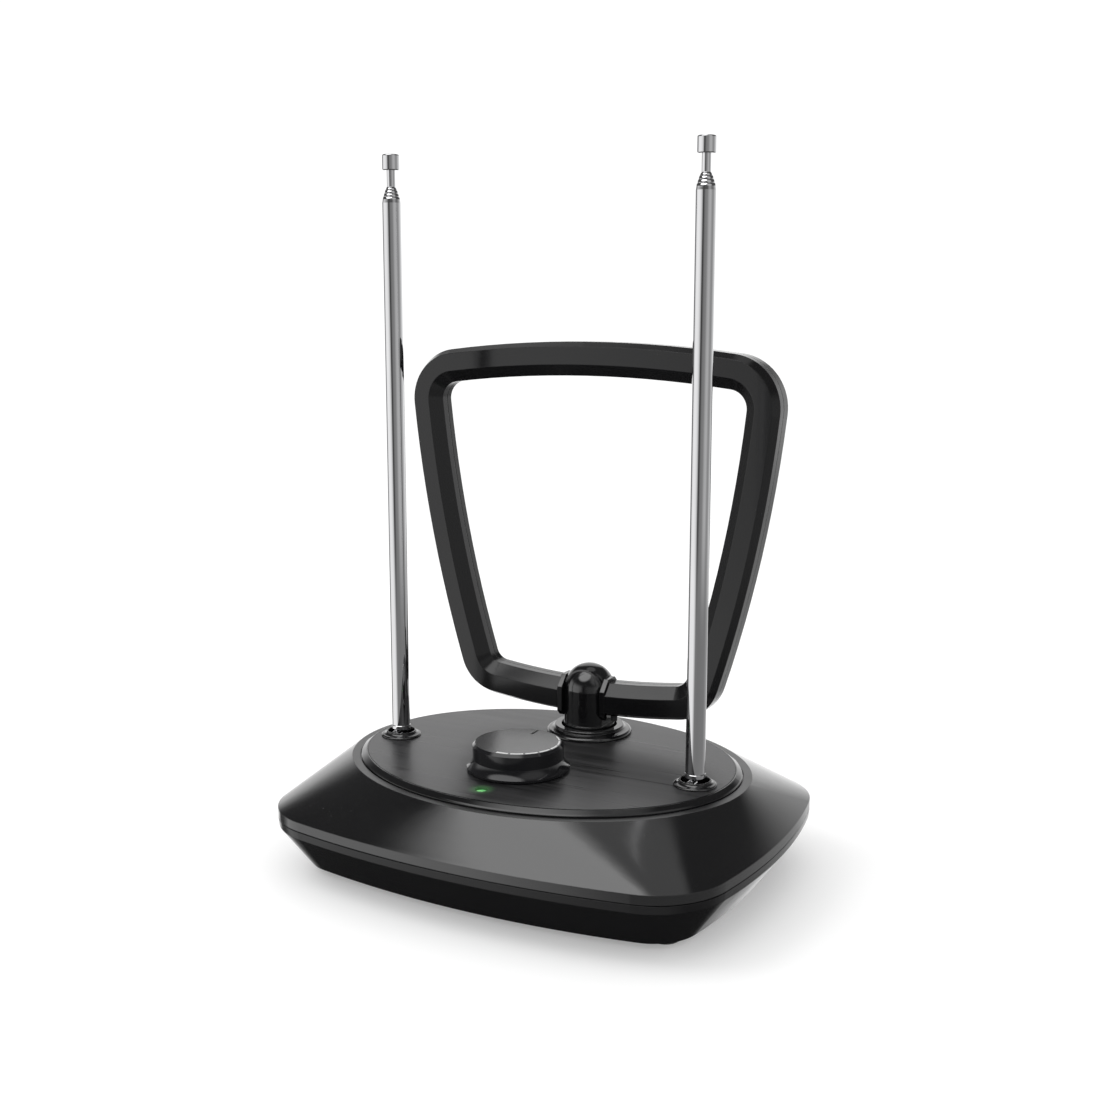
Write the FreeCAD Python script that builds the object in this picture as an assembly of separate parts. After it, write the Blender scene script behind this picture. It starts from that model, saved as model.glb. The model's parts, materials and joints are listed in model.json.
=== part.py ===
"""Indoor television antenna: two telescopic rods and a tilting loop on a weighted base.

Millimetres. +Z is up, the front (knob side) faces -Y, and the origin is under the middle
of the base, on the surface that the feet stand on.
"""
import FreeCAD, Part
import math
import os

V = FreeCAD.Vector
X_AXIS = V(1, 0, 0)
Y_AXIS = V(0, 1, 0)
Z_AXIS = V(0, 0, 1)

# ---- clearances -------------------------------------------------------------------------
RUN_FIT = 0.05          # radial, between a turning or sliding piece and its bore
FIXED_FIT = 0.02        # radial, between pieces that are pressed or screwed together
LOOSE_FIT = 0.15        # radial, around a barrel that passes through a panel
SEAT = 0.05             # between faces that lie on each other
SHELL_SEAM = 0.3        # open line between the halves of a case

# ---- base ------------------------------------------------------------------------------
BASE_LENGTH = 186.8     # along X, at the seam
BASE_DEPTH = 145.6      # along Y, at the seam
FRONT_ARC_R = 352.0     # bulge of the long sides
END_ARC_R = 240.0       # bulge of the short sides
CORNER_R = 29.3
FOOT_H = 3.0            # the case floor stands this high
SEAM_Z = 21.1
BAND_ABOVE = 3.5        # upright band over the seam
BAND_BELOW = 3.0        # upright band under the seam
BAND_DRAFT = 0.3
FLOOR_INSET = 11.4      # how far the lower case tapers in
LEDGE_Z = 39.3          # flat ring around the raised deck
DECK_Z = 41.4           # top of the deck plate
DECK_Y = 1.1            # middle of the deck along Y
DECK_HALF_L = 72.6      # half axes of the deck plate
DECK_HALF_D = 55.9
BEZEL_W = 2.65          # glossy rim around the plate
LEDGE_W = 3.4
BEZEL_GROOVE = 0.3      # dark line between rim and ledge
GROOVE_DEPTH = 0.8
CASE_WALL = 3.0
FLOOR_T = 2.5
PANEL_T = 2.4           # roof of the upper case, under the deck plate
TONGUE_T = 1.5          # lip of the lower case inside the upper one
TONGUE_H = 2.0

# ---- fasteners and feet -----------------------------------------------------------------
CASE_SCREW_X, CASE_SCREW_Y = 64.0, 25.0
SCREW_HEAD_R, SCREW_HEAD_H, SCREW_R = 3.0, 2.2, 1.25
PILLAR_R = 4.2
FOOT_X, FOOT_Y, FOOT_R = 67.5, 41.5, 6.5
FOOT_STEM_R = 2.0

# ---- ballast and electronics ------------------------------------------------------------
BALLAST_L, BALLAST_D, BALLAST_T = 104.0, 64.0, 5.0
BALLAST_SCREW_X = 38.0
BOARD_HALF_L, BOARD_T = 48.0, 1.6
BOARD_FRONT_Y, BOARD_REAR_Y = -51.0, 8.0
BOARD_DROP = 9.0        # from the roof's underside down to the board's lower face
BOARD_SCREW_INSET = 4.0
POT_R = 8.0
POT_BUSH_R, SHAFT_R = 3.5, 3.0
CAN_L, CAN_D, CAN_H, CAN_T = 34.0, 24.0, 4.6, 0.4
CAN_X, CAN_Y = 24.0, -31.0
CORE_X, CORE_Y, CORE_R, CORE_WIRE_R = -30.0, -34.0, 4.6, 1.7
RECESS_HALF_L, RECESS_LOW, RECESS_HIGH = 30.0, 5.6, 17.6
PANEL_Y = 58.0          # face of the rear connector panel
REAR_PANEL_T = 2.0
SOCKET_X, SOCKET_R, SOCKET_L = -14.0, 4.76, 9.0
SOCKET_NECK = 0.2       # relief of the barrel where it passes through panel and nut
SOCKET_NUT_T = 1.6
JACK_X, JACK_R, JACK_BORE_R, JACK_PIN_R = 14.0, 4.2, 2.85, 0.95
LEAD_R = 1.3
LEAD_SHARE = 0.45       # of the shorter run beside a bend, taken by its arc

# ---- knob and light ---------------------------------------------------------------------
KNOB_X, KNOB_Y = -1.5, -18.7
KNOB_R = 16.75
KNOB_SKIRT_R = 18.9
KNOB_CHAMFER = 1.0
KNOB_H = 10.2           # from the deck plate to the knob's top
KNOB_GAP = 0.5
KNOB_WALL = 1.6
KNOB_SKIRT_H = 3.9
KNOB_LIP_H = 0.8        # upright edge at the bottom of the skirt
KNOB_LINE_HALF_W = 0.3  # pointer groove
LIGHT_X, LIGHT_Y, LIGHT_R = -1.5, -45.0, 2.3
LIGHT_RECESS = 0.8
LED_R = 1.5

# ---- rods -------------------------------------------------------------------------------
ROD_X = 62.6
ROD_Y = -4.8
SECTION_R = [3.5, 3.1, 2.7, 2.3]    # outer radii of the four tubes
TUBE_WALL = 0.3
TIP_R = 1.6
ROD_TOP_Z = 247.2       # top of the outer tube, pushed in
SECTION_STEP = 1.2      # each inner tube stands this much prouder
SWAGE_L = 1.0
FERRULE_L, FERRULE_GAP = 5.0, 0.03
CAP_Z, CAP_H, CAP_R = 257.9, 5.8, 3.25
COLLAR_R = 7.8
COLLAR_LIP_R = 5.75
COLLAR_H = 2.0
COLLAR_BORE_R = 5.2
COLLAR_BARREL_R = 6.2
PIVOT_DROP = 1.15       # rod pivot below the collar's lip
FORK_CHEEK_R = 1.75
PIVOT_PIN_R = 0.75
TONGUE_HALF_T = 1.5
FLANGE_R, FLANGE_H, FLANGE_RISE = 3.65, 1.7, 1.9
SPIGOT_L = 8.0
TURRET_STEM_R = 2.5

# ---- loop -------------------------------------------------------------------------------
LOOP_X, LOOP_Y = 0.5, 35.15
POST_R = 10.1
HINGE_Z = 59.1
POST_FLAT = 8.25        # half width of the post between its flats
FLAT_LOW_Z = 45.4
POST_STEP = 0.6         # the front of the post is set back by this much
POST_STEP_Y = -5.5
HINGE_PIN_R = 1.5
RING_R, RING_LIP_R, RING_MOUTH_R, RING_H = 16.9, 13.8, 11.0, 3.25
RING_BARREL_R = 13.0
NECK_R, STUD_R = 6.0, 4.0
WIRE_BORE_R = 2.0
LOOP_FRONT = 7.85       # front face of the loop ahead of the hinge axis
LOOP_DEPTH = 11.8
LOOP_LOW, LOOP_HIGH = -9.1, 136.2   # middle of the bottom and top bars, from the hinge
LOOP_LOW_HALF, LOOP_HIGH_HALF = 50.6, 79.6
LOOP_SIDE_BOW = 5.2
LOOP_TOP_ARC_R, LOOP_LOW_ARC_R = 494.0, 310.0
LOOP_TOP_CORNER_R, LOOP_LOW_CORNER_R = 20.0, 18.5
LOOP_FACE_W = 6.75      # flat front face
LOOP_BEVEL_W, LOOP_BEVEL_D = 4.36, 3.97        # bevel on the inside of the face
LOOP_EDGE_W, LOOP_EDGE_D = 1.8, 3.6            # bevel on the outside of the face
LOOP_REAR_BEVEL = 1.6
LOOP_SEAM_D = 7.2       # seam between the loop's halves, behind the face
LOOP_WALL = 1.6
LOOP_GAP = 10.4         # half width of the opening for the post
BLOCK_LOW, BLOCK_HIGH = -10.7, 5.4
TENON_L = 7.0
CONDUCTOR_W, CONDUCTOR_T = 5.0, 0.8
NUB_R, NUB_H = 1.3, 2.2

# ---- values that follow -----------------------------------------------------------------
FLOOR_TOP = FOOT_H + FLOOR_T
PANEL_LOW = LEDGE_Z - PANEL_T
BOARD_LOW = PANEL_LOW - BOARD_DROP
BOARD_TOP = BOARD_LOW + BOARD_T
LIP_Z = DECK_Z + COLLAR_H
PIVOT_Z = LIP_Z - PIVOT_DROP
FLANGE_Z = PIVOT_Z + FLANGE_RISE
SPIGOT_Z = FLANGE_Z + FLANGE_H
FORK_FLOOR = PIVOT_Z - TONGUE_HALF_T - 0.5
TURRET_LOW = FORK_FLOOR - 1.6
COLLAR_LOW = PANEL_LOW - 2.9
RING_TOP = DECK_Z + RING_H
POST_LOW = PANEL_LOW + 0.4
RING_FLOOR = POST_LOW - SEAT - 2.0
LOOP_W = LOOP_EDGE_W + LOOP_FACE_W + LOOP_BEVEL_W
SECTION_COUNT = len(SECTION_R)


# ---- shape helpers ----------------------------------------------------------------------
def cylinder(r, low, high, x=0.0, y=0.0):
    return Part.makeCylinder(r, high - low, V(x, y, low))


def cylinder_along(axis, r, start, length):
    return Part.makeCylinder(r, length, start, axis)


def box(low, high):
    size = [b - a for a, b in zip(low, high)]
    return Part.makeBox(size[0], size[1], size[2], V(*low))


def face_of(points):
    """Face with straight sides; a point given as (mid, end) makes an arc instead."""
    edges = []
    here = points[0]
    for step in points[1:] + [points[0]]:
        if isinstance(step, tuple):
            mid, end = step
            edges.append(Part.Arc(here, mid, end).toShape())
            here = end
        else:
            edges.append(Part.LineSegment(here, step).toShape())
            here = step
    return Part.Face(Part.Wire(edges))


def turned(profile, x=0.0, y=0.0):
    """Solid of revolution about Z; profile holds (r, z) pairs, or a pair of them for an arc."""
    def spot(p):
        return V(p[0], 0, p[1])
    points = [(spot(p[0]), spot(p[1])) if isinstance(p[0], tuple) else spot(p) for p in profile]
    solid = face_of(points).revolve(V(0, 0, 0), Z_AXIS, 360)
    return solid.translated(V(x, y, 0))


def hexagon(flats, low, high, x, y):
    r = flats / 2 / math.cos(math.pi / 6)
    corners = [V(x + r * math.cos(k * math.pi / 3), y + r * math.sin(k * math.pi / 3), low)
               for k in range(6)]
    return face_of(corners).extrude(V(0, 0, high - low))


def fused(shapes):
    return shapes[0].multiFuse(shapes[1:]).removeSplitter() if len(shapes) > 1 else shapes[0]


def mirrored(shape):
    return shape.mirror(V(0, 0, 0), X_AXIS)


def arc_edge(center, r, start, end, z):
    spots = [V(center[0] + r * math.cos(a), center[1] + r * math.sin(a), z)
             for a in (start, (start + end) / 2, end)]
    return Part.Arc(*spots).toShape()


# ---- base outline -----------------------------------------------------------------------
def meeting_point(c1, r1, c2, r2, right_side):
    """Where two circles cross, on the side that the test picks."""
    dx, dy = c2[0] - c1[0], c2[1] - c1[1]
    gap = math.hypot(dx, dy)
    along = (r1 * r1 - r2 * r2 + gap * gap) / (2 * gap)
    across = math.sqrt(r1 * r1 - along * along)
    spots = [(c1[0] + (dx * along - s * dy * across) / gap, c1[1] + (dy * along + s * dx * across) / gap)
             for s in (1, -1)]
    return max(spots, key=right_side)


def outline_frame():
    """Centres of the base outline's arcs and the angles where they join."""
    side = (0.0, BASE_DEPTH / 2 - FRONT_ARC_R)
    end = (BASE_LENGTH / 2 - END_ARC_R, 0.0)
    corner = meeting_point(side, FRONT_ARC_R - CORNER_R, end, END_ARC_R - CORNER_R,
                           lambda p: p[0] + p[1])
    side_join = math.atan2(corner[1] - side[1], corner[0] - side[0])
    end_join = math.atan2(corner[1] - end[1], corner[0] - end[0])
    return side, end, corner, side_join, end_join


def base_wire(inset, z):
    side, end, corner, side_join, end_join = outline_frame()
    pi = math.pi
    rf, re, rc = FRONT_ARC_R - inset, END_ARC_R - inset, CORNER_R - inset
    edges = [arc_edge(end, re, -end_join, end_join, z),
             arc_edge(corner, rc, end_join, side_join, z),
             arc_edge(side, rf, side_join, pi - side_join, z),
             arc_edge((-corner[0], corner[1]), rc, pi - side_join, pi - end_join, z),
             arc_edge((-end[0], 0), re, pi - end_join, pi + end_join, z),
             arc_edge((-corner[0], -corner[1]), rc, pi + end_join, pi + side_join, z),
             arc_edge((0, -side[1]), rf, pi + side_join, 2 * pi - side_join, z),
             arc_edge((corner[0], -corner[1]), rc, 2 * pi - side_join, 2 * pi - end_join, z)]
    return Part.Wire(edges)


def deck_wire(grow, z):
    """The deck's ellipse grown by a width, in eight pieces that match the base outline."""
    side_join, end_join = outline_frame()[3:]
    pi = math.pi
    a, b = DECK_HALF_L + grow, DECK_HALF_D + grow
    normals = [-end_join, end_join, side_join, pi - side_join, pi - end_join, pi + end_join,
               pi + side_join, 2 * pi - side_join, 2 * pi - end_join]
    marks = []
    for n in normals:
        mark = math.atan2(b * math.sin(n), a * math.cos(n))
        while marks and mark < marks[-1]:
            mark += 2 * pi
        marks.append(mark)
    ellipse = Part.Ellipse(V(0, DECK_Y, z), a, b)
    return Part.Wire([Part.ArcOfEllipse(ellipse, u, v).toShape() for u, v in zip(marks, marks[1:])])


def deck_prism(grow, low, high):
    ellipse = Part.Ellipse(V(0, DECK_Y, low), DECK_HALF_L + grow, DECK_HALF_D + grow)
    return Part.Face(Part.Wire(ellipse.toShape())).extrude(V(0, 0, high - low))


def lofted(wires):
    return Part.makeLoft(wires, True, True)


def deck_holes(low, high):
    """Everything that passes through the roof and the deck plate."""
    cuts = [cylinder(COLLAR_BARREL_R + LOOSE_FIT, low, high, s * ROD_X, ROD_Y) for s in (-1, 1)]
    cuts.append(cylinder(RING_BARREL_R + LOOSE_FIT, low, high, LOOP_X, LOOP_Y))
    cuts.append(cylinder(POT_BUSH_R + LOOSE_FIT, low, high, KNOB_X, KNOB_Y))
    cuts.append(cylinder(LIGHT_R, low, high, LIGHT_X, LIGHT_Y))
    return cuts


def four_ways(x, y):
    return [(sx * x, sy * y) for sx in (-1, 1) for sy in (-1, 1)]


def board_screw_spots():
    x = BOARD_HALF_L - BOARD_SCREW_INSET
    return [(sx * x, y) for sx in (-1, 1)
            for y in (BOARD_FRONT_Y + BOARD_SCREW_INSET, BOARD_REAR_Y - BOARD_SCREW_INSET)]


# ---- base pieces ------------------------------------------------------------------------
def upper_shell():
    band_low, band_high = SEAM_Z + SHELL_SEAM / 2, SEAM_Z + BAND_ABOVE
    rim = BEZEL_W + LEDGE_W
    skin = lofted([base_wire(0, band_low), base_wire(0, band_high), deck_wire(rim, LEDGE_Z)])
    hollow = lofted([base_wire(CASE_WALL, band_low - 1), base_wire(CASE_WALL, band_high),
                     deck_wire(rim - CASE_WALL, LEDGE_Z)])
    room = box((-BASE_LENGTH, -BASE_DEPTH, 0), (BASE_LENGTH, BASE_DEPTH, PANEL_LOW))
    shell = skin.cut(hollow.common(room))
    pillars = [cylinder(PILLAR_R, band_low, LEDGE_Z - 0.5, x, y)
               for x, y in four_ways(CASE_SCREW_X, CASE_SCREW_Y)]
    posts = [cylinder(2.6, BOARD_TOP, PANEL_LOW + 0.3, x, y) for x, y in board_screw_spots()]
    shell = fused([shell] + pillars + posts)
    groove = deck_prism(BEZEL_W + BEZEL_GROOVE, LEDGE_Z - GROOVE_DEPTH, LEDGE_Z + 1)
    groove = groove.cut(deck_prism(BEZEL_W - 0.2, LEDGE_Z - GROOVE_DEPTH, LEDGE_Z + 1))
    cuts = [groove] + deck_holes(PANEL_LOW - 1, LEDGE_Z + 1)
    cuts += [cylinder(SCREW_R + FIXED_FIT, band_low - 1, PANEL_LOW - 3, x, y)
             for x, y in four_ways(CASE_SCREW_X, CASE_SCREW_Y)]
    cuts += [cylinder(0.9 + FIXED_FIT, BOARD_TOP - 1, PANEL_LOW - 2, x, y)
             for x, y in board_screw_spots()]
    return shell.cut(Part.makeCompound(cuts))


def lower_shell():
    top = SEAM_Z - SHELL_SEAM / 2
    bend = SEAM_Z - BAND_BELOW
    lip_in = CASE_WALL + 2 * SEAT
    deep = lip_in + TONGUE_T
    skin = lofted([base_wire(FLOOR_INSET, FOOT_H), base_wire(BAND_DRAFT, bend), base_wire(0, top)])
    tongue = lofted([base_wire(lip_in, bend), base_wire(lip_in, top + SHELL_SEAM + TONGUE_H)])
    hollow = lofted([base_wire(FLOOR_INSET + FLOOR_T, FLOOR_TOP), base_wire(deep, bend),
                     base_wire(deep, top + SHELL_SEAM + TONGUE_H + 1)])
    shell = skin.fuse(tongue).cut(hollow)
    back = BASE_DEPTH / 2 + 1
    block = box((-RECESS_HALF_L - 2, PANEL_Y - REAR_PANEL_T, FOOT_H + 0.5),
                (RECESS_HALF_L + 2, back, RECESS_HIGH + 2)).common(skin)
    pillars = [cylinder(PILLAR_R, FLOOR_TOP - 0.5, top, x, y)
               for x, y in four_ways(CASE_SCREW_X, CASE_SCREW_Y)]
    studs = [cylinder(4.0, FLOOR_TOP - 0.5, FLOOR_TOP + BALLAST_T, s * BALLAST_SCREW_X, 0)
             for s in (-1, 1)]
    shell = fused([shell, block] + pillars + studs)
    cuts = [box((-RECESS_HALF_L, PANEL_Y, RECESS_LOW), (RECESS_HALF_L, back, RECESS_HIGH))]
    middle = (RECESS_LOW + RECESS_HIGH) / 2
    for x, r in ((SOCKET_X, SOCKET_R), (JACK_X, JACK_R)):
        start = V(x, PANEL_Y - REAR_PANEL_T - 1, middle)
        cuts.append(cylinder_along(Y_AXIS, r + LOOSE_FIT, start, REAR_PANEL_T + 2))
    for x, y in four_ways(CASE_SCREW_X, CASE_SCREW_Y):
        cuts.append(cylinder(SCREW_R + 0.45, FOOT_H - 1, top + 1, x, y))
        cuts.append(cylinder(SCREW_HEAD_R + 0.3, FOOT_H - 1, FOOT_H + 3.5, x, y))
    cuts += [cylinder(FOOT_STEM_R + FIXED_FIT, FOOT_H - 1, FLOOR_TOP + 1, x, y)
             for x, y in four_ways(FOOT_X, FOOT_Y)]
    cuts += [cylinder(1.4 + FIXED_FIT, FOOT_H + 1, FLOOR_TOP + BALLAST_T + 1, s * BALLAST_SCREW_X, 0)
             for s in (-1, 1)]
    return shell.cut(Part.makeCompound(cuts))


def deck_bezel():
    low = LEDGE_Z + SEAT
    outer = lofted([deck_wire(BEZEL_W, low), deck_wire(BEZEL_W, low + 0.45),
                    deck_wire(BEZEL_W - 0.35, low + 0.9), deck_wire(0.55, DECK_Z - 0.05),
                    deck_wire(0.2, DECK_Z - 0.1)])
    return outer.cut(deck_prism(0.12, low - 1, DECK_Z + 1))


def deck_plate():
    plate = deck_prism(0, LEDGE_Z + SEAT, DECK_Z)
    return plate.cut(Part.makeCompound(deck_holes(LEDGE_Z - 1, DECK_Z + 1)))


def screw(x, y, head_low, head_r, head_h, shank_r, top):
    """Pan-head screw, head down."""
    edge = 0.4
    head = turned([(0, head_low), (head_r - edge, head_low), (head_r, head_low + edge),
                   (head_r, head_low + head_h), (shank_r, head_low + head_h),
                   (shank_r, top - 0.6), (shank_r - 0.5, top), (0, top)], x, y)
    slot = [box((x - a, y - b, head_low - 1), (x + a, y + b, head_low + 0.8))
            for a, b in ((head_r * 0.55, 0.35), (0.35, head_r * 0.55))]
    return head.cut(Part.makeCompound(slot))


def rubber_feet():
    top = FLOOR_TOP + SEAT
    profile = [(0, 0), (FOOT_R - 1.0, 0), (FOOT_R, 0.8), (FOOT_R, FOOT_H - SEAT),
               (FOOT_STEM_R, FOOT_H - SEAT), (FOOT_STEM_R, top), (FOOT_STEM_R + 1.0, top),
               (FOOT_STEM_R + 0.6, top + 1.4), (0, top + 1.4)]
    return [turned(profile, x, y) for x, y in four_ways(FOOT_X, FOOT_Y)]


def case_screws():
    low = FOOT_H + 3.5 - SEAT - SCREW_HEAD_H
    return [screw(x, y, low, SCREW_HEAD_R, SCREW_HEAD_H, SCREW_R, PANEL_LOW - 5)
            for x, y in four_ways(CASE_SCREW_X, CASE_SCREW_Y)]


def ballast_plate():
    low = FLOOR_TOP + SEAT
    plate = box((-BALLAST_L / 2, -BALLAST_D / 2, low), (BALLAST_L / 2, BALLAST_D / 2, low + BALLAST_T))
    upright = [e for e in plate.Edges if abs(e.Vertexes[0].Z - e.Vertexes[-1].Z) > 1]
    plate = plate.makeFillet(6.0, upright)
    holes = [cylinder(4.0 + LOOSE_FIT, low - 1, low + BALLAST_T + 1, s * BALLAST_SCREW_X, 0)
             for s in (-1, 1)]
    return plate.cut(Part.makeCompound(holes))


def ballast_screws():
    seat = FLOOR_TOP + BALLAST_T + 2 * SEAT
    pieces = []
    for s in (-1, 1):
        profile = [(0, FOOT_H + 1.6), (1.0, FOOT_H + 1.6), (1.4, FOOT_H + 2.2), (1.4, seat),
                   (6.0, seat), (6.0, seat + 0.8), (3.0, seat + 0.8), (2.4, seat + 2.4),
                   (0, seat + 2.4)]
        pieces.append(turned(profile, s * BALLAST_SCREW_X, 0))
    return pieces


def circuit_board():
    board = box((-BOARD_HALF_L, BOARD_FRONT_Y, BOARD_LOW),
                (BOARD_HALF_L, BOARD_REAR_Y, BOARD_TOP - SEAT))
    holes = [cylinder(1.1, BOARD_LOW - 1, BOARD_TOP + 1, x, y) for x, y in board_screw_spots()]
    return board.cut(Part.makeCompound(holes))


def board_screws():
    return [screw(x, y, BOARD_LOW - SEAT - 1.6, 2.4, 1.6, 0.9, BOARD_TOP + 4)
            for x, y in board_screw_spots()]


def shield_can():
    half_l, half_d = CAN_L / 2, CAN_D / 2
    low = (CAN_X - half_l, CAN_Y - half_d, BOARD_TOP)
    high = (CAN_X + half_l, CAN_Y + half_d, BOARD_TOP + CAN_H)
    inner_low = (low[0] + CAN_T, low[1] + CAN_T, low[2] - 1)
    inner_high = (high[0] - CAN_T, high[1] - CAN_T, high[2] - CAN_T)
    return box(low, high).cut(box(inner_low, inner_high))


def matching_core():
    torus = Part.makeTorus(CORE_R, CORE_WIRE_R, V(CORE_X, CORE_Y, BOARD_TOP + CORE_WIRE_R))
    return torus


def potentiometer_body():
    bush_top = DECK_Z + 2.6
    body = cylinder(POT_R, BOARD_TOP, PANEL_LOW - SEAT, KNOB_X, KNOB_Y)
    bush = cylinder(POT_BUSH_R, PANEL_LOW - 0.5, bush_top, KNOB_X, KNOB_Y)
    bore = cylinder(SHAFT_R + RUN_FIT, BOARD_TOP + 1.2, bush_top + 1, KNOB_X, KNOB_Y)
    return body.fuse(bush).cut(bore).removeSplitter()


def potentiometer_nut():
    low = DECK_Z + SEAT
    nut = hexagon(10.0, low, low + 2.0, KNOB_X, KNOB_Y)
    return nut.cut(cylinder(POT_BUSH_R + FIXED_FIT, low - 1, low + 3, KNOB_X, KNOB_Y))


def power_led():
    top = BOARD_TOP + 4.0
    dome_mid = LED_R * math.sqrt(0.5)
    return turned([(0, BOARD_TOP), (LED_R + 0.4, BOARD_TOP), (LED_R + 0.4, BOARD_TOP + 1),
                   (LED_R, BOARD_TOP + 1), (LED_R, top), ((dome_mid, top + dome_mid), (0, top + LED_R))],
                  LIGHT_X, LIGHT_Y)


def light_pipe():
    r = LIGHT_R - RUN_FIT
    top = DECK_Z - LIGHT_RECESS
    under = PANEL_LOW - SEAT
    return turned([(0, under - 1.2), (r + 1.2, under - 1.2), (r + 1.2, under), (r, under),
                   (r, top - 0.3), (r - 0.3, top), (0, top)], LIGHT_X, LIGHT_Y)


def socket_height():
    return (RECESS_LOW + RECESS_HIGH) / 2


def coax_socket():
    """Threaded outlet with a shoulder inside the rear panel and an open centre contact."""
    z = socket_height()
    inner = PANEL_Y - REAR_PANEL_T - SEAT
    outer = PANEL_Y + SOCKET_NUT_T + 2 * SEAT
    barrel = cylinder_along(Y_AXIS, SOCKET_R, V(SOCKET_X, outer, z), PANEL_Y + SOCKET_L - outer)
    neck = cylinder_along(Y_AXIS, SOCKET_R - SOCKET_NECK, V(SOCKET_X, inner - 1, z), outer - inner + 1)
    shoulder = cylinder_along(Y_AXIS, SOCKET_R + 1.2, V(SOCKET_X, inner - 5, z), 5)
    bore = cylinder_along(Y_AXIS, 0.5, V(SOCKET_X, PANEL_Y + 3, z), SOCKET_L)
    return fused([barrel, neck, shoulder]).cut(bore)


def coax_nut():
    z = socket_height()
    nut = hexagon(11.6, 0, SOCKET_NUT_T, 0, 0).cut(cylinder(SOCKET_R + FIXED_FIT, -1, 3))
    nut.rotate(V(0, 0, 0), X_AXIS, -90)
    return nut.translated(V(SOCKET_X, PANEL_Y + SEAT, z))


def dc_jack():
    z = socket_height()
    inner = PANEL_Y - REAR_PANEL_T - SEAT
    shoulder = box((JACK_X - 6, inner - 9, z - 5), (JACK_X + 6, inner, z + 5))
    barrel = cylinder_along(Y_AXIS, JACK_R, V(JACK_X, inner - 1, z), PANEL_Y - inner + 2)
    bore = cylinder_along(Y_AXIS, JACK_BORE_R, V(JACK_X, inner - 7, z), 20)
    pin = cylinder_along(Y_AXIS, JACK_PIN_R, V(JACK_X, inner - 7.5, z), PANEL_Y - inner + 7)
    return shoulder.fuse(barrel).cut(bore).fuse(pin).removeSplitter()


def bent_tube(points, r):
    """Round lead along straight runs joined by tangent arcs."""
    edges = []
    here = points[0]
    for before, corner, after in zip(points, points[1:], points[2:]):
        cut = LEAD_SHARE * min((before - corner).Length, (after - corner).Length)
        back = (before - corner).normalize()
        ahead = (after - corner).normalize()
        half = back.getAngle(ahead) / 2
        bend = cut * math.tan(half)
        start, end = corner + back * cut, corner + ahead * cut
        middle = (back + ahead).normalize()
        mid = corner + middle * (bend / math.sin(half) - bend)
        edges.append(Part.LineSegment(here, start).toShape())
        edges.append(Part.Arc(start, mid, end).toShape())
        here = end
    edges.append(Part.LineSegment(here, points[-1]).toShape())
    ring = Part.Wire(Part.Circle(points[0], points[1] - points[0], r).toShape())
    return Part.Wire(edges).makePipeShell([ring], True, False)


def inner_lead(x, start_y):
    """From the back of a socket, over the ballast and up to the board."""
    low, high = socket_height(), BOARD_LOW - SEAT
    route = [(start_y, 0), (start_y - 14, 0), (start_y - 29, 0.22), (start_y - 41, 0.45),
             (start_y - 44, 0.7), (start_y - 44, 1)]
    return bent_tube([V(x, y, low + (high - low) * share) for y, share in route], LEAD_R)


def inner_leads():
    """Aerial lead and power lead, cut from the same cable."""
    panel = PANEL_Y - REAR_PANEL_T - 2 * SEAT
    return [inner_lead(SOCKET_X, panel - 5), inner_lead(JACK_X, panel - 9)]


def rod_collar(x):
    top = LIP_Z
    mouth = COLLAR_BORE_R
    deck = DECK_Z + SEAT
    stem = TURRET_STEM_R + RUN_FIT
    profile = [(COLLAR_R, deck), ((COLLAR_R - 0.1, deck + 0.45), (COLLAR_R - 0.55, deck + 0.75)),
               ((COLLAR_LIP_R + 0.55, deck + 1.0), (COLLAR_LIP_R, deck + 1.45)),
               (COLLAR_LIP_R, top - 0.15), (COLLAR_LIP_R - 0.15, top), (mouth + 0.15, top),
               (mouth, top - 0.15), (mouth, TURRET_LOW - SEAT), (stem, TURRET_LOW - SEAT),
               (stem, COLLAR_LOW), (COLLAR_BARREL_R, COLLAR_LOW),
               (COLLAR_BARREL_R, deck)]
    return turned(profile, x, ROD_Y)


def collar_nuts():
    pieces = []
    for s in (-1, 1):
        nut = hexagon(16.0, PANEL_LOW - SEAT - 2.4, PANEL_LOW - SEAT, s * ROD_X, ROD_Y)
        hole = cylinder(COLLAR_BARREL_R + FIXED_FIT, COLLAR_LOW - 1, PANEL_LOW + 1, s * ROD_X, ROD_Y)
        pieces.append(nut.cut(hole))
    return pieces


def rod_contacts():
    """Springy strips that carry the signal from the turret screws to the board."""
    t, half_w = 0.4, 2.5
    high = COLLAR_LOW - 0.6 - 1.75 - 2 * SEAT - 0.1
    low = BOARD_TOP + SEAT
    edge = BOARD_HALF_L - 3
    line = [(edge, low), (BOARD_HALF_L + 2, low), (BOARD_HALF_L + 6, high - t), (ROD_X + 3, high - t)]
    corners = [V(x, ROD_Y - half_w, z) for x, z in line]
    corners += [V(x, ROD_Y - half_w, z + t) for x, z in reversed(line)]
    strip = face_of(corners).extrude(V(0, 2 * half_w, 0))
    return [strip, mirrored(strip)]


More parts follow.
